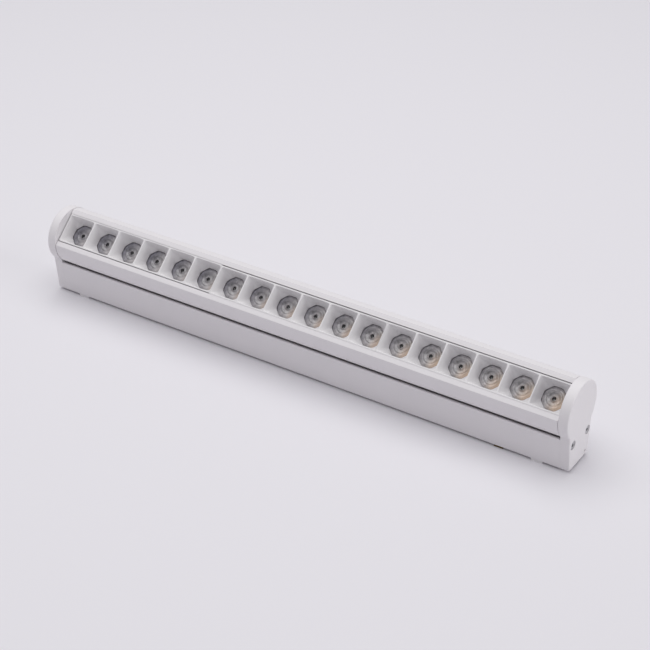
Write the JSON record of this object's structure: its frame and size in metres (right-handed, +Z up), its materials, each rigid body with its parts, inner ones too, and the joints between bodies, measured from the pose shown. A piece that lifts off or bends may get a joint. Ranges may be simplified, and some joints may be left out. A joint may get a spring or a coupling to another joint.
{
  "type": "led strip batten",
  "caption": "Long low light fitting: a round head of square louvre cells, each with a lens at its foot, tilts between the end plates of a slim box base.",
  "frame": {"origin": "on the surface the feet stand on, midway along the batten and midway between its front and back", "axes": "+X along the batten towards the end plate with the stop pin, -Y towards the front, which the head leans to at rest, +Z up from the mounting surface"},
  "size_m": [0.598, 0.0584, 0.089],
  "materials": {
    "white_powder_coat": "fine satin powder coat",
    "white_plastic": "satin moulded plastic",
    "clear_lens": "moulded acrylic lens",
    "white_board": "white solder mask",
    "led_phosphor": "silicone dome over yellow phosphor",
    "steel": "zinc plated",
    "zinc_sheet": "zinc coated sheet",
    "bush_bronze": "sintered bronze",
    "spring_bronze": "dark phosphor bronze",
    "washer_nylon": "natural nylon",
    "grommet_rubber": "soft rubber",
    "green_board": "green solder mask",
    "ferrite": "ferrite and tape",
    "copper_winding": "enamelled copper",
    "capacitor_sleeve": "shrink sleeve",
    "green_connector": "moulded plastic",
    "earth_wire": "green and yellow insulation",
    "brown_wire": "brown and blue insulation",
    "black_wire": "black and red insulation"
  },
  "bodies": {
    "base": {"base_channel": "white_powder_coat", "end_plate_left": "white_powder_coat", "end_plate_right": "white_powder_coat", "end_plate_screws": "steel", "pivot_pin_left": "steel", "pivot_pin_right": "steel", "stop_pin": "steel", "friction_washers": "washer_nylon", "mounting_foot_left": "white_plastic", "mounting_foot_right": "white_plastic", "latch_spring": "spring_bronze", "cable_grommet": "grommet_rubber", "driver_case": "zinc_sheet", "driver_lid": "zinc_sheet", "driver_board": "green_board", "driver_transformer": "ferrite", "driver_choke": "copper_winding", "driver_capacitors": "capacitor_sleeve", "driver_connectors": "green_connector", "driver_screws": "steel", "terminal_block": "white_plastic", "earth_stud": "steel", "earth_lead": "earth_wire", "mains_leads": "brown_wire", "output_leads": "black_wire"},
    "head": {"head_tube": "white_powder_coat", "head_cap_left": "white_powder_coat", "head_cap_right": "white_powder_coat", "cap_screws": "steel", "pivot_bush_left": "bush_bronze", "pivot_bush_right": "bush_bronze", "head_leads": "black_wire", "board_links": "black_wire", "board_screws": "steel", "led_board_1": "white_board", "led_board_2": "white_board", "led_board_3": "white_board", "led_emitters": "led_phosphor", "grille_1": "white_plastic", "grille_2": "white_plastic", "grille_3": "white_plastic", "lens_01": "clear_lens", "lens_02": "clear_lens", "lens_03": "clear_lens", "lens_04": "clear_lens", "lens_05": "clear_lens", "lens_06": "clear_lens", "lens_07": "clear_lens", "lens_08": "clear_lens", "lens_09": "clear_lens", "lens_10": "clear_lens", "lens_11": "clear_lens", "lens_12": "clear_lens", "lens_13": "clear_lens", "lens_14": "clear_lens", "lens_15": "clear_lens", "lens_16": "clear_lens", "lens_17": "clear_lens", "lens_18": "clear_lens"}
  },
  "joints": [
    {"name": "head_tilt", "type": "hinge", "parent": "base", "child": "head", "pos_m": [0, 0, 0.05975], "axis": [1, 0, 0], "range_deg": [-130.4, 49.6]}
  ]
}
